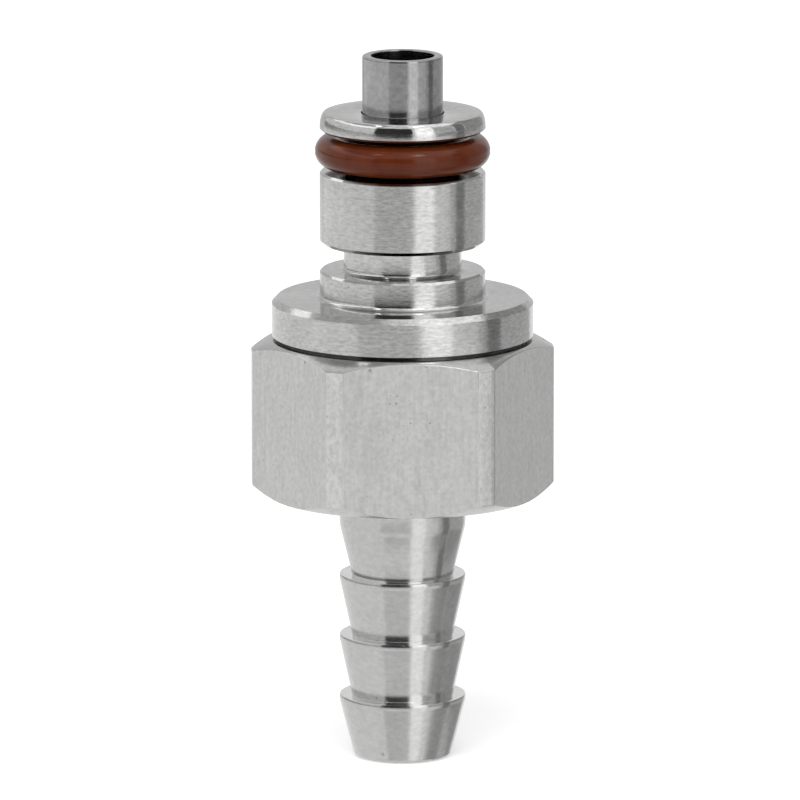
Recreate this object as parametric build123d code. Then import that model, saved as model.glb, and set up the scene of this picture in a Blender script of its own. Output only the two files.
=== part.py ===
from build123d import *
import math
import os

# Plug half of a fuel line quick connector: a turned nose with a sliding shut-off valve,
# screwed into a hexagon body with a barbed hose tail. Millimetres.
# The axis is Z. The origin is the centre of the tail's end face, and +Z points to the nose.

# Hose tail
tail_bore_dia = 5.0
tail_end_dia = 6.85
tail_end_chamfer = 0.3
barb_crest_dia = 8.85
barb_root_dia = 7.15
barb_land = 0.4  # straight stretch at each crest
barb_edge_chamfer = 0.16
barb_count = 3  # barbs that have a step above them
lowest_barb_height = 4.45
barb_pitch = 4.325
shank_cone_height = 3.5
shank_dia = 8.87
shank_height = 2.2

# Hexagon, milled on round bar
hex_across_flats = 19.0
hex_height = 11.02
hex_corner_trim = 0.37  # what the round bar takes off each sharp corner
hex_top_chamfer_angle = 27.0
hex_bottom_chamfer_angle = 34.0
hex_bottom_chamfer_width = 1.12

# Nose
collar_dia = 18.3
collar_height = 2.67
collar_edge_chamfer = 0.4
seam_gap = 0.26  # visible slit between collar and hexagon
step_height = 1.94
latch_neck_dia = 8.25
latch_groove_width = 1.9
nose_dia = 11.58  # step, land and disc are turned to one size
land_height = 5.1
land_bottom_chamfer = 0.27
seal_groove_width = 2.9
disc_height = 1.25
disc_edge_radius = 0.55

# Sealing ring on the nose
nose_ring_cord = 2.26
nose_ring_inner_dia = 7.8

# Valve stem
stem_dia = 5.65
stem_bore_dia = 4.4
stem_reach = 4.0  # how far the tube stands out of the disc
stem_travel = 3.0
port_dia = 2.2
port_count = 4
drill_point_angle = 31.0
head_thickness = 1.2
pilot_height = 1.0  # below the head, inside the spring
valve_ring_cord = 1.6
valve_ring_depth = 0.45  # depth of its groove under the stem's surface

# Valve chamber and spring
floor_thickness = 2.05  # metal between the chamber and the hexagon's underside
pocket_depth = 0.5
chamber_step_height = 1.5
chamber_dia = 10.5
spring_wire_dia = 0.8
spring_turns = 4
spring_end_pitch = 0.92  # of the closed turn at each end
spring_end_ground = 0.2  # depth ground flat off each end
spring_path_steps = 12  # points on each turn of the coil's path
spring_spare = 1.0  # length left over its solid length when the valve is fully open

# Screwed joint
thread_depth = 0.35  # from the undercut's floor to the thread's mean radius
joint_ring_cord = 1.5
joint_ring_squeeze = 0.1
gland_depth = 1.7
seat_face_width = 0.4
seam_depth = 0.75  # how deep the slit under the collar runs

# Clearances
stem_clearance = 0.05  # radial, running fit in the guide bore
valve_shut_gap = 0.04  # ring to conical seat
head_flow_gap = 0.65  # radial, past the valve's head
spring_side_gap = 0.1
gallery_gap = 0.4  # radial, round the stem at its ports
spigot_end_gap = 0.6
nose_ring_lift = 0.28  # under the nose's ring, down to the land
ring_flat = 0.03  # how far a stretched ring is pressed flat on its groove
collar_margin = 0.07  # flat that shows round the collar on the hexagon

# Edges
small_edge = 0.15
fine_edge = 0.08
root_radius = 0.35

# Heights, from the tail's end up
hex_bottom = lowest_barb_height + (barb_count - 1) * barb_pitch + shank_cone_height + shank_height
hex_top = hex_bottom + hex_height
collar_bottom = hex_top + seam_gap
collar_top = collar_bottom + collar_height
step_top = collar_top + step_height
land_bottom = step_top + latch_groove_width
land_top = land_bottom + land_height
disc_bottom = land_top + seal_groove_width
disc_top = disc_bottom + disc_height
pocket_floor = hex_bottom + floor_thickness
chamber_floor = pocket_floor + pocket_depth
thread_floor = chamber_floor + chamber_step_height
spigot_bottom = thread_floor + spigot_end_gap
undercut_bottom = hex_top - gland_depth - small_edge
spring_length = spring_turns * spring_wire_dia + stem_travel + spring_spare  # with the valve shut
head_bottom = pocket_floor + spring_length
head_top = head_bottom + head_thickness
valve_ring_height = head_top + valve_ring_cord / 2 - ring_flat
ring_groove_top = head_top + valve_ring_cord + small_edge
port_height = ring_groove_top + port_dia
port_top = port_height + port_dia / 2
gallery_top = port_top + small_edge

# Radii
stem_radius = stem_dia / 2
guide_radius = stem_radius + stem_clearance
gallery_radius = stem_radius + gallery_gap
ring_groove_radius = stem_radius - valve_ring_depth
valve_ring_radius = ring_groove_radius + valve_ring_cord / 2 - ring_flat
chamber_radius = chamber_dia / 2
head_radius = chamber_radius - head_flow_gap
spring_radius = head_radius - spring_side_gap - spring_wire_dia / 2
seat_radius = collar_dia / 2 - seam_depth
gland_radius = seat_radius - seat_face_width
undercut_radius = gland_radius - joint_ring_cord + joint_ring_squeeze
thread_radius = undercut_radius + thread_depth
bar_radius = hex_across_flats / math.sqrt(3) - hex_corner_trim
top_circle_radius = collar_dia / 2 + collar_margin

# The conical seat lies at 45 degrees, the shut gap away from the valve's ring.
# Along it, radius plus height is always this sum.
seat_sum = valve_ring_radius + valve_ring_height + math.sqrt(2) * (valve_ring_cord / 2 + valve_shut_gap)


def turned(corners, rounded=(), broken=()):
    # Solid of revolution about Z. Corners are (radius, height). A rounded or broken corner is named by
    # its radius and height again, with the size of its arc or of its 45 degree chamfer.
    section = make_face(Polyline(*[(radius, 0, height) for radius, height in corners], close=True))
    for radius, height, size in rounded:
        section = fillet(section.vertices().sort_by_distance((radius, 0, height))[0], size)
    for radius, height, size in broken:
        section = chamfer(section.vertices().sort_by_distance((radius, 0, height))[0], size)
    return revolve(section, Axis.Z)


def sealing_ring(radius, height, cord, inner, outer=None, bottom=None):
    # Round cord, pressed flat where it meets its groove's floor, the wall round it or a shoulder.
    ring = Pos(0, 0, height) * Torus(radius, cord / 2)
    ring -= Pos(0, 0, height) * Cylinder(inner, 2 * cord)
    if outer:
        ring &= Pos(0, 0, height) * Cylinder(outer, 2 * cord)
    if bottom:
        ring -= Pos(0, 0, bottom) * Cylinder(2 * radius, cord, align=(Align.CENTER, Align.CENTER, Align.MAX))
    return ring


def hex_tail():
    bore = tail_bore_dia / 2
    end = tail_end_dia / 2
    crest = barb_crest_dia / 2
    root = barb_root_dia / 2
    shank = shank_dia / 2
    pocket = head_radius + spring_side_gap
    corners = [(bore, 0), (end, 0)]
    broken = [(bore, 0, small_edge), (end, 0, tail_end_chamfer), (bore, pocket_floor, tail_end_chamfer)]
    for barb in range(barb_count):
        top = lowest_barb_height + barb * barb_pitch
        corners += [(crest, top - barb_land), (crest, top), (root, top)]
        broken += [(crest, top, barb_edge_chamfer)]
    bottom_rise = hex_bottom_chamfer_width * math.tan(math.radians(hex_bottom_chamfer_angle))
    top_fall = (bar_radius - top_circle_radius) * math.tan(math.radians(hex_top_chamfer_angle))
    corners += [
        (shank, hex_bottom - shank_height),
        (shank, hex_bottom),
        (bar_radius - hex_bottom_chamfer_width, hex_bottom),
        (bar_radius, hex_bottom + bottom_rise),
        (bar_radius, hex_top - top_fall),
        (top_circle_radius, hex_top),
        (gland_radius, hex_top),
        (gland_radius, hex_top - gland_depth),
        (thread_radius, hex_top - gland_depth),
        (thread_radius, thread_floor),
        (chamber_radius, thread_floor),
        (chamber_radius, chamber_floor),
        (pocket, chamber_floor),
        (pocket, pocket_floor),
        (bore, pocket_floor),
    ]
    body = turned(corners, broken=broken)
    hexagon = RegularPolygon(hex_across_flats / 2, 6, major_radius=False)
    waste = Circle(2 * bar_radius) - hexagon
    return body - Pos(0, 0, hex_bottom) * extrude(waste, hex_height)


def nose_body():
    collar = collar_dia / 2
    nose = nose_dia / 2
    neck = latch_neck_dia / 2
    groove = nose_ring_inner_dia / 2
    corners = [
        (chamber_radius, spigot_bottom),
        (thread_radius, spigot_bottom),
        (thread_radius, undercut_bottom),
        (undercut_radius, undercut_bottom),
        (undercut_radius, hex_top),
        (seat_radius, hex_top),
        (seat_radius, collar_bottom),
        (collar, collar_bottom),
        (collar, collar_top),
        (nose, collar_top),
        (nose, step_top),
        (neck, step_top),
        (neck, land_bottom),
        (nose, land_bottom),
        (nose, land_top),
        (groove, land_top),
        (groove, disc_bottom),
        (nose, disc_bottom),
        (nose, disc_top),
        (guide_radius, disc_top),
        (guide_radius, gallery_top),
        (gallery_radius, gallery_top),
        (gallery_radius, seat_sum - gallery_radius),
        (chamber_radius, seat_sum - chamber_radius),
    ]
    rounded = [
        (nose, collar_top, root_radius),
        (neck, step_top, root_radius),
        (nose, disc_top, disc_edge_radius),
    ]
    sharp_edges = [
        (collar, collar_bottom),
        (nose, step_top),
        (nose, land_top),
        (nose, disc_bottom),
        (guide_radius, disc_top),
    ]
    broken = [(radius, height, small_edge) for radius, height in sharp_edges]
    broken += [
        (collar, collar_top, collar_edge_chamfer),
        (nose, land_bottom, land_bottom_chamfer),
        (thread_radius, spigot_bottom, thread_depth),
    ]
    return turned(corners, rounded, broken)


def nose_o_ring():
    radius = (nose_ring_inner_dia + nose_ring_cord) / 2 - ring_flat
    height = land_top + nose_ring_lift + nose_ring_cord / 2
    return sealing_ring(radius, height, nose_ring_cord, nose_ring_inner_dia / 2)


def body_seal():
    radius = (undercut_radius + gland_radius) / 2
    height = hex_top - gland_depth / 2
    return sealing_ring(radius, height, joint_ring_cord, undercut_radius, outer=gland_radius)


def valve_stem():
    bore = stem_bore_dia / 2
    pilot = spring_radius - spring_wire_dia / 2 - spring_side_gap
    tip = disc_top + stem_reach
    bore_end = port_height - port_dia / 2 - small_edge
    drill_point = bore * math.tan(math.radians(drill_point_angle))
    pilot_bottom = head_bottom - pilot_height
    stem = turned([
        (0, pilot_bottom),
        (pilot, pilot_bottom),
        (pilot, head_bottom),
        (head_radius, head_bottom),
        (head_radius, head_top),
        (ring_groove_radius, head_top),
        (ring_groove_radius, ring_groove_top),
        (stem_radius, ring_groove_top),
        (stem_radius, tip),
        (bore, tip),
        (bore, bore_end),
        (0, bore_end - drill_point),
    ], broken=[
        (pilot, pilot_bottom, small_edge),
        (head_radius, head_top, small_edge),
        (stem_radius, tip, fine_edge),
        (bore, tip, fine_edge),
    ])
    for port in range(port_count):
        drill = Cylinder(port_dia / 2, stem_dia, align=(Align.CENTER, Align.CENTER, Align.MIN))
        stem -= Rot(0, 0, port * 360 / port_count) * Pos(bore / 2, 0, port_height) * Rot(0, 90, 0) * drill
    return stem


def valve_seal():
    return sealing_ring(
        valve_ring_radius, valve_ring_height, valve_ring_cord, ring_groove_radius, bottom=head_top
    )


def valve_spring():
    # The end turns lie close and are ground flat, and the turns between share what is left of the length.
    open_pitch = (spring_length - 2 * spring_end_ground - 2 * spring_end_pitch) / (spring_turns - 2)
    path_points = []
    for step in range(spring_turns * spring_path_steps + 1):
        turn = step / spring_path_steps
        lower = min(turn, 1)
        upper = max(turn - (spring_turns - 1), 0)
        middle = turn - lower - upper
        rise = (lower + upper) * spring_end_pitch + middle * open_pitch
        angle = 2 * math.pi * turn
        path_points.append((
            spring_radius * math.cos(angle),
            spring_radius * math.sin(angle),
            pocket_floor + spring_end_ground + rise,
        ))
    path = Spline(*path_points)
    wire = Plane(path @ 0, z_dir=path % 0) * Circle(spring_wire_dia / 2)
    coil = sweep(wire, path, is_frenet=True)
    between = Cylinder(chamber_radius, spring_length, align=(Align.CENTER, Align.CENTER, Align.MIN))
    return coil & Pos(0, 0, pocket_floor) * between


sub_parts = [hex_tail, nose_body, nose_o_ring, body_seal, valve_stem, valve_seal, valve_spring]
os.makedirs("parts", exist_ok=True)
for make in sub_parts:
    export_step(make(), f"parts/{make.__name__}.step")
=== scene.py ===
import math
import bmesh
import bpy
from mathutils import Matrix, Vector


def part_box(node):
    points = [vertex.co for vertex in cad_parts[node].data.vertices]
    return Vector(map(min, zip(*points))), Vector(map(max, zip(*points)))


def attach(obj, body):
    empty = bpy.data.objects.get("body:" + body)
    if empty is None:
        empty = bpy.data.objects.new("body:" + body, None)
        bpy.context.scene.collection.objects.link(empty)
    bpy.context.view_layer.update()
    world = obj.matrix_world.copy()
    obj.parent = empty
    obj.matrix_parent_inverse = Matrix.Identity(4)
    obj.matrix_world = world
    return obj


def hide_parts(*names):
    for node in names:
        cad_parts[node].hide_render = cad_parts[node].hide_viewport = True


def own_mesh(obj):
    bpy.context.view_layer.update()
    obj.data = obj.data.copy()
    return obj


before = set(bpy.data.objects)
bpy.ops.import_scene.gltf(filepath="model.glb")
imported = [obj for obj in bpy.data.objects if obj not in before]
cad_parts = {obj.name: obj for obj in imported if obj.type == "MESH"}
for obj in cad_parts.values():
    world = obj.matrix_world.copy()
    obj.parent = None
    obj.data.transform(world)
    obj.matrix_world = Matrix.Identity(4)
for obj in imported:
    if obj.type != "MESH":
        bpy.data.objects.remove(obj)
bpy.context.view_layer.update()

mm = 0.001
hair = 1e-7  # in m, points nearer than this are one place
mergeGap = 1e-6  # in m, points nearer than this are merged
print("frame loaded")


# helpers for modelling in edit mode

def deselectAll():
    if bpy.context.object and bpy.context.object.mode != "OBJECT":
        bpy.ops.object.mode_set(mode="OBJECT")
    bpy.ops.object.select_all(action="DESELECT")


def makeActive(piece):
    deselectAll()
    piece.select_set(True)
    bpy.context.view_layer.objects.active = piece


def selectWhere(piece, kind, test):
    # selects the vertices, edges or faces that pass the test, in edit mode
    bpy.ops.mesh.select_mode(type=kind)
    bpy.ops.mesh.select_all(action="DESELECT")
    mesh = bmesh.from_edit_mesh(piece.data)
    parts = {"VERT": mesh.verts, "EDGE": mesh.edges, "FACE": mesh.faces}[kind]
    for part in parts:
        part.select_set(test(part))
    mesh.select_flush_mode()
    bmesh.update_edit_mesh(piece.data)


def startWire(name, place):
    # a new piece with one vertex at the place, left in edit mode
    deselectAll()
    bpy.ops.mesh.primitive_plane_add(size=mm, location=(0, 0, 0))
    piece = bpy.context.object
    piece.name = piece.data.name = name
    bpy.ops.object.mode_set(mode="EDIT")
    bpy.ops.mesh.select_mode(type="VERT")
    bpy.ops.mesh.select_all(action="SELECT")
    bpy.ops.mesh.merge(type="CENTER")
    bpy.ops.transform.translate(value=place)
    return piece


def cutOff(place, outward):
    # cuts the mesh at a plane, drops what lies outward of it and closes the cut
    bpy.ops.mesh.select_all(action="SELECT")
    bpy.ops.mesh.bisect(
        plane_co=place, plane_no=outward, use_fill=True, clear_outer=True, threshold=hair
    )


orderPlace = (0.31, 0.17, -0.43)  # in m, no two points of a piece are equally far from it


def orderMesh():
    # puts the mesh's elements in one order, so that what follows comes out alike in each run
    bpy.context.scene.cursor.location = orderPlace
    bpy.ops.mesh.select_all(action="SELECT")
    bpy.ops.mesh.sort_elements(type="CURSOR_DISTANCE", elements={"VERT", "EDGE", "FACE"})


def joinMesh():
    # merges the points that meet, turns the faces outward and leaves edit mode
    bpy.ops.mesh.select_all(action="SELECT")
    bpy.ops.mesh.remove_doubles(threshold=mergeGap)
    bpy.ops.mesh.normals_make_consistent(inside=False)
    bpy.ops.object.mode_set(mode="OBJECT")


turnSteps = 192  # round each turned piece


def turnPiece(name, corners, closed=True):
    # spins a wire drawn through the corners: (radius, height, rounding, rounding's steps) in mm
    here = Vector((corners[0][0] * mm, 0, corners[0][1] * mm))
    piece = startWire(name, here)
    for corner in corners[1:]:
        there = Vector((corner[0] * mm, 0, corner[1] * mm))
        bpy.ops.mesh.extrude_region_move(TRANSFORM_OT_translate={"value": there - here})
        here = there
    if closed:
        ends = [Vector((corner[0] * mm, 0, corner[1] * mm)) for corner in (corners[0], corners[-1])]
        selectWhere(piece, "VERT", lambda v: any((v.co - end).length < hair for end in ends))
        bpy.ops.mesh.edge_face_add()
    for corner in corners:
        if len(corner) > 2:
            place = Vector((corner[0] * mm, 0, corner[1] * mm))
            selectWhere(piece, "VERT", lambda v: (v.co - place).length < hair)
            segments = corner[3] if len(corner) > 3 else max(2, min(8, round(corner[2] * 16)))
            bpy.ops.mesh.bevel(offset=corner[2] * mm, segments=segments, affect="VERTICES")
    bpy.ops.mesh.select_all(action="SELECT")
    bpy.ops.mesh.spin(steps=turnSteps, angle=2 * math.pi, center=(0, 0, 0), axis=(0, 0, 1))
    joinMesh()
    return piece


def finishShading(piece, angle=34, plane=None):
    # smooth up to the angle; faces larger than plane, in mm2, keep their borders crisp
    makeActive(piece)
    bpy.ops.object.shade_smooth_by_angle(angle=math.radians(angle))
    if plane:
        planes = [face for face in piece.data.polygons if face.area > plane * mm * mm]
        borders = {key for face in planes for key in face.edge_keys}
        for edge in piece.data.edges:
            edge.use_edge_sharp = edge.use_edge_sharp or edge.key in borders
    weighted = piece.modifiers.new("evenNormals", "WEIGHTED_NORMAL")
    weighted.keep_sharp = True
    weighted.weight = 100
    bpy.ops.object.modifier_apply(modifier=weighted.name)


def dress(piece, material, body, node):
    piece.data.materials.clear()
    piece.data.materials.append(material)
    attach(piece, body)
    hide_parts(node)


def addFinishes(piece, finishes, finishOf):
    # adds them after the piece's main material; finishOf gives the material of each face
    for finish in finishes:
        piece.data.materials.append(finish)
    places = {material.name: place for place, material in enumerate(piece.data.materials)}
    for face in piece.data.polygons:
        face.material_index = places[finishOf(face).name]


# helpers for materials

def newMaterial(name):
    material = bpy.data.materials.new(name)
    material.use_nodes = True
    nodes = material.node_tree.nodes
    return material, nodes, material.node_tree.links, nodes["Principled BSDF"]


def grainNoise(nodes, links, coords, stretch, detail):
    # noise drawn out by the three stretch values, per metre
    mapping = nodes.new("ShaderNodeMapping")
    mapping.inputs["Scale"].default_value = stretch
    noise = nodes.new("ShaderNodeTexNoise")
    noise.inputs["Scale"].default_value = 1.0
    noise.inputs["Detail"].default_value = detail
    noise.inputs["Roughness"].default_value = 0.6
    links.new(coords.outputs["Object"], mapping.inputs["Vector"])
    links.new(mapping.outputs["Vector"], noise.inputs["Vector"])
    return noise.outputs["Fac"]


def spread(nodes, links, source, low, high, fromLow=0.3, fromHigh=0.7):
    ranged = nodes.new("ShaderNodeMapRange")
    ranged.inputs["From Min"].default_value = fromLow
    ranged.inputs["From Max"].default_value = fromHigh
    ranged.inputs["To Min"].default_value = low
    ranged.inputs["To Max"].default_value = high
    links.new(source, ranged.inputs["Value"])
    return ranged.outputs["Result"]


def multiply(nodes, links, first, second):
    product = nodes.new("ShaderNodeMath")
    product.operation = "MULTIPLY"
    links.new(first, product.inputs[0])
    links.new(second, product.inputs[1])
    return product.outputs[0]


def mixValues(nodes, links, first, second, share):
    mixed = nodes.new("ShaderNodeMix")
    mixed.inputs[0].default_value = share
    links.new(first, mixed.inputs[2])
    links.new(second, mixed.inputs[3])
    return mixed.outputs[0]


def blendColour(nodes, links, factor, dark, light):
    mixed = nodes.new("ShaderNodeMix")
    mixed.data_type = "RGBA"
    mixed.inputs[6].default_value = (*dark, 1)
    mixed.inputs[7].default_value = (*light, 1)
    links.new(factor, mixed.inputs[0])
    return mixed.outputs[2]


# ragged knocks and scattered pits
wear = {
    "wobble": (9000, 9000, 9000), "wobbleSpread": (0.5, 1.6), "core": 0.4,
    "pitPatches": (800, 800, 500), "pitLoss": 0.3, "pitCore": 0.1,
}


def nickMask(nodes, links, coords, nicks):
    # 1 all over, falling to 0 at each small knock; a nick is (x, y, z, radius) in mm
    wobble = grainNoise(nodes, links, coords, wear["wobble"], 1)
    mask = None
    for x, y, z, radius in nicks:
        away = nodes.new("ShaderNodeVectorMath")
        away.operation = "DISTANCE"
        away.inputs[1].default_value = (x * mm, y * mm, z * mm)
        links.new(coords.outputs["Object"], away.inputs[0])
        uneven = spread(nodes, links, wobble, *wear["wobbleSpread"])
        ragged = multiply(nodes, links, away.outputs["Value"], uneven)
        edge = spread(nodes, links, ragged, 0, 1, wear["core"] * radius * mm, radius * mm)
        mask = multiply(nodes, links, mask, edge) if mask else edge
    return mask


def pitMask(nodes, links, coords, look):
    # 1 all over, falling to 0 at fine pits, of which the noise leaves only some
    pits = nodes.new("ShaderNodeTexVoronoi")
    pits.inputs["Scale"].default_value = look["pitScale"]
    links.new(coords.outputs["Object"], pits.inputs["Vector"])
    some = grainNoise(nodes, links, coords, wear["pitPatches"], 2)
    widened = nodes.new("ShaderNodeMath")
    widened.operation = "ADD"
    links.new(pits.outputs["Distance"], widened.inputs[0])
    links.new(spread(nodes, links, some, 0, wear["pitLoss"]), widened.inputs[1])
    return spread(nodes, links, widened.outputs[0], 0, 1, wear["pitCore"], look["pitWidth"])


def steel(name, look):
    # stainless steel with a drawn-out grain, round the axis where turned and along it where milled
    material, nodes, links, shader = newMaterial(name)
    coords = nodes.new("ShaderNodeTexCoord")
    lines = grainNoise(nodes, links, coords, look["lines"], 3)
    streaks = grainNoise(nodes, links, coords, look["streaks"], 4)
    patches = grainNoise(nodes, links, coords, look["patches"], 2)
    grain = mixValues(nodes, links, lines, streaks, look["streakShare"])
    tone = mixValues(nodes, links, grain, patches, look["patchShare"])
    shade = spread(nodes, links, tone, 0, 1)
    colour = blendColour(nodes, links, shade, look["dark"], look["light"])
    sound = pitMask(nodes, links, coords, look)
    if look["nicks"]:
        sound = multiply(nodes, links, sound, nickMask(nodes, links, coords, look["nicks"]))
    worn = nodes.new("ShaderNodeMix")
    worn.data_type = "RGBA"
    worn.inputs[6].default_value = (*look["pitColour"], 1)
    links.new(sound, worn.inputs[0])
    links.new(colour, worn.inputs[7])
    links.new(worn.outputs[2], shader.inputs["Base Color"])
    low, high = look["roughness"]
    links.new(spread(nodes, links, patches, low, high), shader.inputs["Roughness"])
    bump = nodes.new("ShaderNodeBump")
    bump.inputs["Strength"].default_value = look["bump"]
    bump.inputs["Distance"].default_value = look["depth"]
    links.new(multiply(nodes, links, grain, sound), bump.inputs["Height"])
    links.new(bump.outputs["Normal"], shader.inputs["Normal"])
    shader.inputs["Metallic"].default_value = look["metallic"]
    if look["anisotropic"]:
        shader.inputs["Anisotropic"].default_value = look["anisotropic"]
        shader.inputs["Anisotropic Rotation"].default_value = 0.25
        tangent = nodes.new("ShaderNodeTangent")
        tangent.direction_type = "RADIAL"
        tangent.axis = "Z"
        links.new(tangent.outputs["Tangent"], shader.inputs["Tangent"])
    return material


tailNicks = [
    (-1.60, -3.22, 0.67, 0.16), (-1.26, -3.37, 1.06, 0.09), (-0.51, -4.37, 12.97, 0.12),
    (-7.20, -6.52, 29.35, 0.14), (-2.83, -9.45, 29.35, 0.16), (1.10, -9.45, 29.5, 0.12),
]
turnedLook = {
    "lines": (200, 200, 7000), "streaks": (2100, 2100, 6200), "streakShare": 0.8,
    "patches": (300, 300, 300), "patchShare": 0.25,
    "pitScale": 1500, "pitWidth": 0.16, "pitColour": (0.3, 0.3, 0.3), "nicks": tailNicks,
    "dark": (0.34, 0.34, 0.335), "light": (0.65, 0.65, 0.645),
    "roughness": (0.14, 0.2), "bump": 0.8, "depth": 0.00001, "anisotropic": 0.5, "metallic": 1.0,
}
barbLook = {
    "lines": (300, 300, 5000), "streaks": (2200, 2200, 3000), "streakShare": 0.85,
    "patches": (300, 300, 300), "patchShare": 0.25,
    "pitScale": 1500, "pitWidth": 0.16, "pitColour": (0.3, 0.3, 0.3), "nicks": tailNicks,
    "dark": (0.43, 0.43, 0.425), "light": (0.56, 0.56, 0.555),
    "roughness": (0.16, 0.22), "bump": 0.25, "depth": 0.00001, "anisotropic": 0.5, "metallic": 1.0,
}
facedLook = {  # smoother cut on the nose's faces and roundings
    **turnedLook, "roughness": (0.05, 0.09), "bump": 0.4,
}
slitShadeLook = {  # steel in the slit under the collar, darkened as painted shade
    **turnedLook, "dark": (0.08, 0.08, 0.08), "light": (0.22, 0.22, 0.22),
}
ledgeHighlightLook = {  # barbs' upper faces, painted near-white as a painted highlight
    **barbLook, "dark": (0.86, 0.86, 0.855), "light": (0.96, 0.96, 0.955), "roughness": (0.1, 0.16),
}
milledLook = {
    "lines": (3600, 3600, 300), "streaks": (3200, 3200, 3200), "streakShare": 0.65,
    "patches": (700, 700, 200), "patchShare": 0.12,
    "pitScale": 2200, "pitWidth": 0.2, "pitColour": (0.26, 0.26, 0.26), "nicks": tailNicks,
    "dark": (0.42, 0.42, 0.415), "light": (0.62, 0.62, 0.615),
    "roughness": (0.36, 0.48), "bump": 1.0, "depth": 0.00001, "anisotropic": 0, "metallic": 0.6,
}
# corner strips left of the round bar: their own smoother finish, with a lighter colour that is
# partly painted highlight
stripFinishAndHighlightLook = {
    "lines": (3000, 3000, 400), "streaks": (3000, 3000, 2500), "streakShare": 0.8,
    "patches": (700, 700, 400), "patchShare": 0.3,
    "pitScale": 2200, "pitWidth": 0.25, "pitColour": (0.26, 0.26, 0.26), "nicks": [],
    "dark": (0.42, 0.42, 0.415), "light": (0.68, 0.68, 0.675),
    "roughness": (0.14, 0.22), "bump": 0.7, "depth": 0.00001, "anisotropic": 0, "metallic": 0.85,
}
borderLook = {
    "lines": (5000, 5000, 600), "streaks": (5000, 5000, 1500), "streakShare": 0.8,
    "patches": (900, 900, 900), "patchShare": 0.5,
    "pitScale": 2200, "pitWidth": 0.25, "pitColour": (0.2, 0.2, 0.2), "nicks": [],
    "dark": (0.44, 0.44, 0.44), "light": (0.66, 0.66, 0.66),
    "roughness": (0.07, 0.12), "bump": 0.4, "depth": 0.00001, "anisotropic": 0, "metallic": 1.0,
}
polishedLook = {
    "lines": (2200, 2200, 1500), "streaks": (2600, 2600, 2600), "streakShare": 0.8,
    "patches": (400, 400, 400), "patchShare": 0.4,
    "pitScale": 1500, "pitWidth": 0.14, "pitColour": (0.2, 0.2, 0.2), "nicks": [],
    "dark": (0.25, 0.25, 0.25), "light": (0.43, 0.43, 0.43),
    "roughness": (0.12, 0.2), "bump": 0.7, "depth": 0.00001, "anisotropic": 0.3, "metallic": 1.0,
}
wireLook = {
    "lines": (300, 300, 300), "streaks": (3000, 3000, 3000), "streakShare": 0.5,
    "patches": (400, 400, 400), "patchShare": 0.3,
    "pitScale": 1500, "pitWidth": 0.14, "pitColour": (0.2, 0.2, 0.2), "nicks": [],
    "dark": (0.40, 0.40, 0.40), "light": (0.50, 0.50, 0.50),
    "roughness": (0.25, 0.35), "bump": 0.1, "depth": 0.00001, "anisotropic": 0, "metallic": 1.0,
}


def rubber(name, look):
    material, nodes, links, shader = newMaterial(name)
    coords = nodes.new("ShaderNodeTexCoord")
    mottle = grainNoise(nodes, links, coords, look["mottle"], 4)
    skin = grainNoise(nodes, links, coords, look["skin"], 3)
    shade = spread(nodes, links, mottle, 0, 1)
    colour = blendColour(nodes, links, shade, look["dark"], look["light"])
    links.new(colour, shader.inputs["Base Color"])
    links.new(spread(nodes, links, mottle, *look["roughness"]), shader.inputs["Roughness"])
    bump = nodes.new("ShaderNodeBump")
    bump.inputs["Strength"].default_value = look["bump"]
    bump.inputs["Distance"].default_value = look["depth"]
    links.new(skin, bump.inputs["Height"])
    links.new(bump.outputs["Normal"], shader.inputs["Normal"])
    shader.inputs["Specular IOR Level"].default_value = look["shine"]
    return material


brownLook = {
    "mottle": (500, 500, 500), "skin": (4000, 4000, 4000),
    "dark": (0.072, 0.012, 0.003), "light": (0.104, 0.021, 0.005),
    "roughness": (0.12, 0.18), "bump": 0.06, "depth": 0.00002, "shine": 0.21,
}
blackLook = {
    "mottle": (500, 500, 500), "skin": (4000, 4000, 4000),
    "dark": (0.015, 0.015, 0.015), "light": (0.03, 0.03, 0.03),
    "roughness": (0.3, 0.45), "bump": 0.15, "depth": 0.00002, "shine": 0.4,
}

turnedSteel = steel("turnedSteel", turnedLook)
facedSteel = steel("facedSteel", facedLook)
barbSteel = steel("barbSteel", barbLook)
ledgeHighlightSteel = steel("ledgeHighlightSteel", ledgeHighlightLook)
slitShadeSteel = steel("slitShadeSteel", slitShadeLook)
milledSteel = steel("milledSteel", milledLook)
stripFinishAndHighlightSteel = steel("stripFinishAndHighlightSteel", stripFinishAndHighlightLook)
borderSteel = steel("borderSteel", borderLook)
polishedSteel = steel("polishedSteel", polishedLook)
wireSteel = steel("wireSteel", wireLook)
brownRubber = rubber("brownRubber", brownLook)
blackRubber = rubber("blackRubber", blackLook)
print("materials made")


# heights and radii that the pieces share, in mm, read from the frame
def span(node):
    low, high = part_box(node)
    return low / mm, high / mm


tailLow, tailHigh = span("hex_tail")
noseLow, noseHigh = span("nose_body")
stemLow, stemHigh = span("valve_stem")
ringLow, ringHigh = span("nose_o_ring")
springLow, springHigh = span("valve_spring")
hexTop = tailHigh.z
discTop = noseHigh.z
acrossFlats = tailHigh.y - tailLow.y
barRadius = (tailHigh.x - tailLow.x) / 2
collarRadius = noseHigh.x
chamberRadius = 5.25

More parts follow.
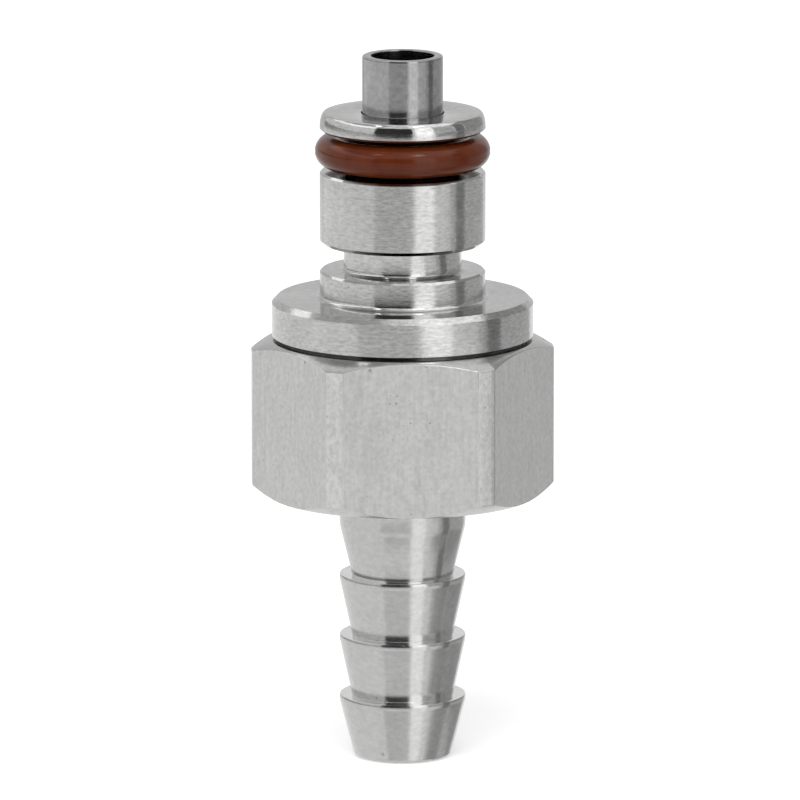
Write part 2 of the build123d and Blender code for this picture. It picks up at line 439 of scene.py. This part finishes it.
# hose tail with its hexagon
tail = {
    "bore": 2.5, "boreEdge": 0.12, "end": 3.405, "endChamfer": 0.3,
    "barbs": 3, "lowestTop": 4.45, "pitch": 4.325, "crest": 4.425, "crestLand": 0.4,
    "crestEdge": 0.1, "ledgeEdge": 0.15, "root": 3.575, "rootFoot": 0.06, "ledgeTilt": 0.9,
    "shank": 4.435, "shankHeight": 2.2, "shankEdge": 0.3, "shankFoot": 0.12,
    "hexHeight": 11.02, "topAngle": 27, "bottomAngle": 34, "bottomWidth": 1.12, "topMargin": 0.07,
    "bottomEdge": 0.06, "coneEdge": 0.05, "topEdge": 0.04,
    "gland": 8.0, "glandDepth": 1.7, "glandEdge": 0.06, "thread": 6.95, "threadStep": 1.5,
    "pocket": 4.7, "pocketStep": 0.5, "chamberEdge": 0.1, "boreChamfer": 0.3, "floor": 2.05,
    "flatArea": 20, "weld": 0.025, "flatEdge": 0.27, "arcEdge": 0.03, "longEdge": 2,
    "turnedRadius": 9.4, "turnedTilt": 0.3, "stripTurn": 6, "borderTurn": 26, "borderArea": 0.1,
}


def makeHexTail():
    t = tail
    hexBottom = hexTop - t["hexHeight"]
    pocketFloor = hexBottom + t["floor"]
    chamberFloor = pocketFloor + t["pocketStep"]
    threadFloor = chamberFloor + t["threadStep"]
    corners = [(t["bore"], 0, t["boreEdge"]), (t["end"], 0, t["endChamfer"])]
    for barb in range(t["barbs"]):
        top = t["lowestTop"] + barb * t["pitch"]
        corners += [
            (t["crest"], top - t["crestLand"], t["crestEdge"]),
            (t["crest"], top, t["ledgeEdge"]),
            (t["root"], top, t["rootFoot"]),
        ]
    topCircle = collarRadius + t["topMargin"]
    rise = t["bottomWidth"] * math.tan(math.radians(t["bottomAngle"]))
    fall = (barRadius - topCircle) * math.tan(math.radians(t["topAngle"]))
    corners += [
        (t["shank"], hexBottom - t["shankHeight"], t["shankEdge"]),
        (t["shank"], hexBottom, t["shankFoot"]),
        (barRadius - t["bottomWidth"], hexBottom, t["bottomEdge"]),
        (barRadius, hexBottom + rise, t["bottomEdge"]),
        (barRadius, hexTop - fall, t["coneEdge"]),
        (topCircle, hexTop, t["topEdge"]),
        (t["gland"], hexTop, t["glandEdge"]),
        (t["gland"], hexTop - t["glandDepth"]),
        (t["thread"], hexTop - t["glandDepth"]),
        (t["thread"], threadFloor),
        (chamberRadius, threadFloor, t["chamberEdge"]),
        (chamberRadius, chamberFloor),
        (t["pocket"], chamberFloor, t["chamberEdge"]),
        (t["pocket"], pocketFloor),
        (t["bore"], pocketFloor, t["boreChamfer"]),
    ]
    piece = turnPiece("hexTail", corners)
    makeActive(piece)
    bpy.ops.object.mode_set(mode="EDIT")
    half = acrossFlats / 2 * mm
    for side in range(6):  # six cuts mill the flats off the round bar
        turn = math.radians(60 * side + 30)
        outward = Vector((math.cos(turn), math.sin(turn), 0))
        cutOff(outward * half, outward)
    orderMesh()
    bpy.ops.mesh.remove_doubles(threshold=t["weld"] * mm)  # the cuts leave very short edges
    orderMesh()

    def bordersFlat(edge):
        flats = [f for f in edge.link_faces if f.calc_area() > t["flatArea"] * mm * mm]
        return len(flats) == 1

    def upright(edge):
        return bordersFlat(edge) and edge.calc_length() > t["longEdge"] * mm

    selectWhere(piece, "EDGE", upright)
    bpy.ops.mesh.bevel(offset=t["flatEdge"] * mm, segments=3, affect="EDGES")
    middle = (hexTop - t["hexHeight"] / 2) * mm

    def upperArc(edge):  # the lower arcs are left crisp
        return bordersFlat(edge) and min(v.co.z for v in edge.verts) > middle

    selectWhere(piece, "EDGE", upperArc)
    bpy.ops.mesh.bevel(offset=t["arcEdge"] * mm, segments=2, affect="EDGES")
    bpy.ops.mesh.select_all(action="SELECT")
    bpy.ops.mesh.normals_make_consistent(inside=False)
    bpy.ops.object.mode_set(mode="OBJECT")
    finishShading(piece, plane=t["flatArea"])
    dress(piece, milledSteel, "body", "hex_tail")
    addFinishes(piece, [barbSteel, stripFinishAndHighlightSteel, borderSteel, ledgeHighlightSteel], hexFinish)
    return piece


def hexFinish(face):
    # milled flats, corner strips with their own finish and a lighter colour that is partly painted
    # highlight, shiny borders, and the barbs' upper faces painted near-white as a painted highlight
    t = tail
    middle = face.center / mm
    barbsHigh = t["lowestTop"] + t["barbs"] * t["pitch"]
    heading = math.degrees(math.atan2(face.normal.y, face.normal.x))
    off = abs((heading + 30) % 60 - 30)  # degrees from the middle of the nearest strip
    # upward faces of the barbs get the near-white steel, as a painted highlight
    if middle.xy.length < t["crest"] and middle.z < barbsHigh and face.normal.z > t["ledgeTilt"]:
        return ledgeHighlightSteel
    if middle.xy.length < t["turnedRadius"] or abs(face.normal.z) > t["turnedTilt"]:
        return barbSteel
    # corner strips: own finish, lighter colour partly painted highlight
    if off < t["stripTurn"]:
        return stripFinishAndHighlightSteel
    if t["stripTurn"] < off < t["borderTurn"] and face.area > t["borderArea"] * mm * mm:
        return borderSteel
    return milledSteel


# nose: spigot, collar, step, latch groove, land, seal groove and disc
nose = {
    "collar": 2.67, "collarEdge": 0.38, "seamDepth": 0.75, "underEdge": 0.08, "underDrop": 0.05,
    "step": 1.94, "neck": 4.125, "neckFoot": 0.08, "latch": 1.9, "radius": 5.79, "land": 5.1,
    "landEdge": 0.26, "groove": 3.9, "grooveWidth": 2.9, "disc": 1.25, "discEdge": (0.36, 1.0),
    "discSteps": 16, "undercut": 6.6, "undercutDrop": 0.15, "thread": 6.95, "threadEdge": 0.35,
    "innerEdge": 0.1, "guide": 2.875, "guideEdge": 0.12, "guideFoot": 0.05, "gallery": 3.225,
    "galleryRise": 4.63, "seatRise": 4.5329, "foot": 0.35, "edge": 0.15,
    "facedTilt": 0.15, "slack": 0.01,
}


def makeNose():
    n = nose
    discLow = discTop - n["disc"]
    landTop = discLow - n["grooveWidth"]
    landLow = landTop - n["land"]
    stepTop = landLow - n["latch"]
    collarTop = stepTop - n["step"]
    collarLow = collarTop - n["collar"] - n["underDrop"]  # the drop narrows the slit a little
    seat = collarRadius - n["seamDepth"]
    glandLow = hexTop - tail["glandDepth"] - n["undercutDrop"]
    galleryTop = hexTop + n["galleryRise"]
    seatSum = hexTop + n["seatRise"]  # radius plus height along the conical seat
    across, down = n["discEdge"]
    discRounding = []
    for step in range(n["discSteps"] + 1):
        turn = math.pi / 2 * step / n["discSteps"]
        radius = n["radius"] - across * (1 - math.cos(turn))
        discRounding.append((radius, discTop - down * (1 - math.sin(turn))))
    corners = [
        (chamberRadius, noseLow.z, n["innerEdge"]),
        (n["thread"], noseLow.z, n["threadEdge"]),
        (n["thread"], glandLow, n["innerEdge"]),
        (n["undercut"], glandLow),
        (n["undercut"], hexTop),
        (seat, hexTop),
        (seat, collarLow),
        (collarRadius, collarLow, n["underEdge"], 1),
        (collarRadius, collarTop, n["collarEdge"], 1),
        (n["radius"], collarTop, n["foot"]),
        (n["radius"], stepTop, n["edge"], 1),
        (n["neck"], stepTop, n["foot"]),
        (n["neck"], landLow, n["neckFoot"]),
        (n["radius"], landLow, n["landEdge"], 1),
        (n["radius"], landTop, n["edge"], 1),
        (n["groove"], landTop, n["edge"]),
        (n["groove"], discLow, n["edge"]),
        (n["radius"], discLow, n["edge"], 1),
        *discRounding,
        (n["guide"], discTop, n["guideEdge"]),
        (n["guide"], galleryTop, n["guideFoot"]),
        (n["gallery"], galleryTop),
        (n["gallery"], seatSum - n["gallery"]),
        (chamberRadius, seatSum - chamberRadius),
    ]
    piece = turnPiece("noseBody", corners)
    finishShading(piece)
    dress(piece, turnedSteel, "body", "nose_body")

    def noseFinish(face):
        middle = face.center / mm
        # faces in the slit under the collar get the darker steel, as painted shade
        inSlit = hexTop < middle.z < collarLow + n["slack"]
        if inSlit and middle.xy.length < collarRadius - n["underEdge"]:
            return slitShadeSteel
        if middle.z > collarTop - n["slack"] and abs(face.normal.z) > n["facedTilt"]:
            return facedSteel
        return turnedSteel

    addFinishes(piece, [slitShadeSteel, facedSteel], noseFinish)
    return piece


# sealing ring in the nose's groove, a round cord with its mould's parting line at the widest place
oRing = {"cord": 1.13, "middle": 5.0, "flash": 0.03, "lift": 0.001, "points": 48, "smooth": 60}


def makeORing():
    o = oRing
    height = (ringLow.z + ringHigh.z) / 2
    corners = []
    for step in range(o["points"]):
        angle = 2 * math.pi * step / o["points"]
        reach = o["cord"] - (o["flash"] if step == 0 else 0)
        radius = max(o["middle"] + reach * math.cos(angle), nose["groove"] + o["lift"])
        corners.append((radius, height + reach * math.sin(angle)))
    piece = turnPiece("noseORing", corners)
    finishShading(piece, o["smooth"])
    dress(piece, brownRubber, "body", "nose_o_ring")
    return piece


# hollow stem with its cross holes and head
stem = {
    "radius": 2.825, "bore": 2.2, "drillDepth": 1.32, "pilot": 3.6, "pilotHeight": 1.0, "head": 4.6,
    "headHeight": 1.2, "groove": 2.375, "grooveHeight": 1.75, "rim": 0.14, "innerRim": 0.08,
    "edge": 0.15, "headEdge": 0.06, "grooveEdge": 0.08,
    "port": 1.1, "portRise": 2.2, "portEdge": 0.15, "portSides": 48, "ports": 4,
}


def makeStem():
    s = stem
    headLow = stemLow.z + s["pilotHeight"]
    headTop = headLow + s["headHeight"]
    grooveTop = headTop + s["grooveHeight"]
    portHeight = grooveTop + s["portRise"]
    boreEnd = portHeight - s["port"] - s["portEdge"]
    corners = [
        (0, stemLow.z),
        (s["pilot"], stemLow.z, s["edge"]),
        (s["pilot"], headLow),
        (s["head"], headLow, s["headEdge"]),
        (s["head"], headTop, s["edge"]),
        (s["groove"], headTop),
        (s["groove"], grooveTop),
        (s["radius"], grooveTop, s["grooveEdge"]),
        (s["radius"], stemHigh.z, s["rim"]),
        (s["bore"], stemHigh.z, s["innerRim"]),
        (s["bore"], boreEnd),
        (0, boreEnd - s["drillDepth"]),
    ]
    piece = turnPiece("valveStem", corners, closed=False)
    for port in range(s["ports"]):
        turn = 2 * math.pi * port / s["ports"]
        reach = s["radius"] * mm
        deselectAll()
        bpy.ops.mesh.primitive_cylinder_add(
            vertices=s["portSides"], radius=s["port"] * mm, depth=reach,
            location=(reach * math.cos(turn), reach * math.sin(turn), portHeight * mm),
            rotation=(0, math.pi / 2, turn),
        )
        drill = bpy.context.object
        cut = piece.modifiers.new("port", "BOOLEAN")
        cut.operation = "DIFFERENCE"
        cut.solver = "EXACT"
        cut.object = drill
        makeActive(piece)
        bpy.ops.object.modifier_apply(modifier=cut.name)
        bpy.data.objects.remove(drill)
    finishShading(piece)
    dress(piece, polishedSteel, "valve", "valve_stem")
    return piece


# return spring: closed and ground end turns, open turns between
spring = {
    "wire": 0.4, "middle": 4.1, "turns": 4, "steps": 28, "sides": 14, "closedRise": 0.92,
    "ground": 0.2, "smooth": 40,
}


def makeSpring():
    s = spring
    low = hexTop - tail["hexHeight"] + tail["floor"]
    high = stemLow.z + stem["pilotHeight"]
    openRise = (high - low - 2 * s["ground"] - 2 * s["closedRise"]) / (s["turns"] - 2)
    deselectAll()
    bpy.ops.mesh.primitive_circle_add(
        vertices=s["sides"], radius=s["wire"] * mm, fill_type="NGON",
        location=(0, 0, 0), rotation=(math.pi / 2, 0, 0),
    )
    piece = bpy.context.object
    piece.name = piece.data.name = "valveSpring"
    bpy.ops.object.transform_apply(location=True, rotation=True, scale=True)
    bpy.ops.object.mode_set(mode="EDIT")
    bpy.ops.mesh.select_all(action="SELECT")
    bpy.ops.transform.translate(value=(s["middle"] * mm, 0, (low + s["ground"]) * mm))
    bpy.ops.mesh.select_mode(type="FACE")
    stepTurn = 2 * math.pi / s["steps"]
    for step in range(s["turns"] * s["steps"]):
        whole = step // s["steps"]
        rise = s["closedRise"] if whole in (0, s["turns"] - 1) else openRise
        bpy.ops.mesh.extrude_region_move(
            TRANSFORM_OT_translate={"value": (0, 0, rise / s["steps"] * mm)}
        )
        bpy.ops.transform.rotate(value=-stepTurn, orient_axis="Z", center_override=(0, 0, 0))
    for height, up in ((low, -1), (high, 1)):  # both ends are ground flat
        cutOff((0, 0, height * mm), (0, 0, up))
    joinMesh()
    finishShading(piece, s["smooth"])
    dress(piece, wireSteel, "body", "valve_spring")
    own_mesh(piece)
    return piece


makeHexTail()
print("hose tail made")
makeNose()
print("nose made")
makeORing()
print("sealing ring made")
makeStem()
print("stem made")
makeSpring()
print("spring made")
for node in ("body_seal", "valve_seal"):  # the hidden rings stay as their solids
    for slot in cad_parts[node].material_slots:
        slot.material = blackRubber


# studio: pale floor, reflector panels round the object, soft lamps
studio = {
    "floorSize": 6.0, "floorColour": (0.86, 0.86, 0.86, 1), "floorRoughness": 0.9, "floorGlow": 0.3,
    "panelDistance": 0.5, "panelStep": 4, "turn": -3.5, "ambient": 0.75, "lampAim": (0, 0, 0.025),
}
# each panel: from and to in degrees to the camera's right, low and high end in m, brightness,
# and for the ones above the object also their distance in m
panels = [
    ("front", -40, 14, -0.17, -0.01, 0.78),
    ("frontFloor", -40, 14, -0.29, -0.17, 1.05),
    ("frontLow", -40, 14, -0.65, -0.29, 0.74),
    ("frontHigh", -40, 14, -0.01, 0.40, 0.04),
    ("keyStrip", 18, 44, -0.65, 0.0, 1.36),
    ("keyStripTop", 18, 44, 0.0, 0.45, 1.8),
    ("rightGrey", 46, 60, -0.24, 0.0, 0.96),
    ("rightGreyMiddle", 60, 70, -0.24, 0.0, 0.88),
    ("rightGreyFar", 70, 79, -0.24, 0.0, 0.62),
    ("rightDark", 79, 97, -0.24, 0.45, 0.26),
    ("rightEdge", 60, 68, -0.65, -0.24, 0.62),
    ("rightLow", 68, 98, -0.65, -0.24, 0.42),
    ("rightFar", 98, 150, -0.15, 0.0, 0.56),
    ("rightFarDim", 98, 150, -0.28, -0.15, 0.4),
    ("rightFarLow", 98, 150, -0.65, -0.28, 0.66),
    ("leftBand", -140, -41, 0.0, 0.09, 0.38),
    ("leftBandTop", -140, -41, 0.09, 0.32, 0.85),
    ("leftBandHigh", -140, -41, 0.32, 0.5, 1.6),
    ("rightBand", 46, 78, 0.0, 0.09, 0.35),
    ("rightBandTop", 46, 78, 0.09, 0.34, 0.65),
    ("farBand", 98, 150, 0.0, 0.6, 0.4),
    ("backBand", 151, 219, -0.05, 0.42, 0.66),
    ("leftSky", -130, -30, 0.5, 2.2, 0.5),
    ("rightSky", 10, 110, 0.46, 2.2, 1.5),
    ("overLeft", -56, -43, 0.72, 0.88, 8.0, 0.48),
    ("overRight", 22, 42, 0.70, 0.95, 10.0, 0.48),
]


def panelMaterial(name, brightness):
    material, nodes, links, shader = newMaterial(name)
    shader.inputs["Base Color"].default_value = (0, 0, 0, 1)
    shader.inputs["Roughness"].default_value = 1.0
    shader.inputs["Emission Color"].default_value = (1, 1, 1, 1)
    shader.inputs["Emission Strength"].default_value = brightness
    material.cycles.emission_sampling = "NONE"
    return material


def makePanel(name, start, end, low, high, brightness, distance=studio["panelDistance"]):
    # an upright panel bent round the object, seen only in reflections
    turn = math.radians(start + studio["turn"])
    panel = startWire(name, (distance * math.sin(turn), -distance * math.cos(turn), low))
    bpy.ops.mesh.extrude_region_move(TRANSFORM_OT_translate={"value": (0, 0, high - low)})
    bpy.ops.mesh.select_all(action="SELECT")
    steps = max(2, round((end - start) / studio["panelStep"]))
    sweep = math.radians(start - end)
    bpy.ops.mesh.spin(steps=steps, angle=sweep, center=(0, 0, 0), axis=(0, 0, 1))
    bpy.ops.object.mode_set(mode="OBJECT")
    panel.data.materials.append(panelMaterial(name, brightness))
    panel.visible_camera = False
    panel.visible_diffuse = False
    panel.visible_shadow = False


def makeFloor():
    deselectAll()
    bpy.ops.mesh.primitive_plane_add(size=studio["floorSize"], location=(0, 0, 0))
    floor = bpy.context.object
    floor.name = floor.data.name = "floor"
    material, nodes, links, shader = newMaterial("paleFloor")
    shader.inputs["Base Color"].default_value = studio["floorColour"]
    shader.inputs["Roughness"].default_value = studio["floorRoughness"]
    shader.inputs["Specular IOR Level"].default_value = 0.0
    path = nodes.new("ShaderNodeLightPath")
    seen = nodes.new("ShaderNodeMath")
    seen.operation = "MULTIPLY"
    seen.inputs[1].default_value = studio["floorGlow"]
    links.new(path.outputs["Is Camera Ray"], seen.inputs[0])
    shader.inputs["Emission Color"].default_value = (1, 1, 1, 1)
    links.new(seen.outputs[0], shader.inputs["Emission Strength"])
    floor.data.materials.append(material)
    floor.visible_glossy = False


def makeWorld():
    world = bpy.data.worlds.new("studioWorld")
    bpy.context.scene.world = world
    world.use_nodes = True
    nodes, links = world.node_tree.nodes, world.node_tree.links
    back = nodes["Background"]
    back.inputs["Color"].default_value = (1, 1, 1, 1)
    path = nodes.new("ShaderNodeLightPath")
    seen = nodes.new("ShaderNodeMath")
    seen.operation = "MAXIMUM"
    links.new(path.outputs["Is Camera Ray"], seen.inputs[0])
    links.new(path.outputs["Is Glossy Ray"], seen.inputs[1])
    also = nodes.new("ShaderNodeMath")
    also.operation = "MAXIMUM"
    links.new(seen.outputs[0], also.inputs[0])
    links.new(path.outputs["Is Transmission Ray"], also.inputs[1])
    strength = spread(nodes, links, also.outputs[0], studio["ambient"], 1.0, 0.0, 1.0)
    links.new(strength, back.inputs["Strength"])


lamps = [
    {"name": "topLamp", "place": (-0.10, -0.45, 0.70), "size": 0.5, "power": 3.6},
    {"name": "sideLamp", "place": (0.5, -0.45, 0.45), "size": 0.35, "power": 0.3},
]


def makeLamps():
    aim = Vector(studio["lampAim"])
    for lamp in lamps:
        light = bpy.data.lights.new(lamp["name"], "AREA")
        light.shape = "SQUARE"
        light.size = lamp["size"]
        light.energy = lamp["power"]
        holder = bpy.data.objects.new(lamp["name"], light)
        holder.location = lamp["place"]
        holder.rotation_euler = (aim - holder.location).to_track_quat("-Z", "Y").to_euler()
        holder.visible_glossy = False
        bpy.context.scene.collection.objects.link(holder)


camera = {
    "distance": 0.85, "turn": -3.5, "elevation": 11.0, "pixelsPerMm": 14.28, "imageSize": 800,
    "sensor": 36.0, "axisRight": 2.6, "aimHeight": 25.37, "clip": (0.05, 20),
}


def makeCamera():
    c = camera
    data = bpy.data.cameras.new("camera")
    holder = bpy.data.objects.new("camera", data)
    bpy.context.scene.collection.objects.link(holder)
    turn, up = math.radians(c["turn"]), math.radians(c["elevation"])
    away = Vector((math.sin(turn) * math.cos(up), -math.cos(turn) * math.cos(up), math.sin(up)))
    right = Vector((math.cos(turn), math.sin(turn), 0))
    aim = Vector((0, 0, c["aimHeight"] * mm)) - right * (c["axisRight"] / c["pixelsPerMm"] * mm)
    holder.location = aim + away * c["distance"]
    holder.rotation_euler = (-away).to_track_quat("-Z", "Y").to_euler()
    data.sensor_width = c["sensor"]
    data.lens = c["pixelsPerMm"] / mm * c["distance"] * c["sensor"] / c["imageSize"]
    data.clip_start, data.clip_end = c["clip"]
    bpy.context.scene.camera = holder


for panel in panels:
    makePanel(*panel)
makeFloor()
makeWorld()
makeLamps()
makeCamera()
bpy.context.scene.view_settings.view_transform = "Standard"
print("studio made")
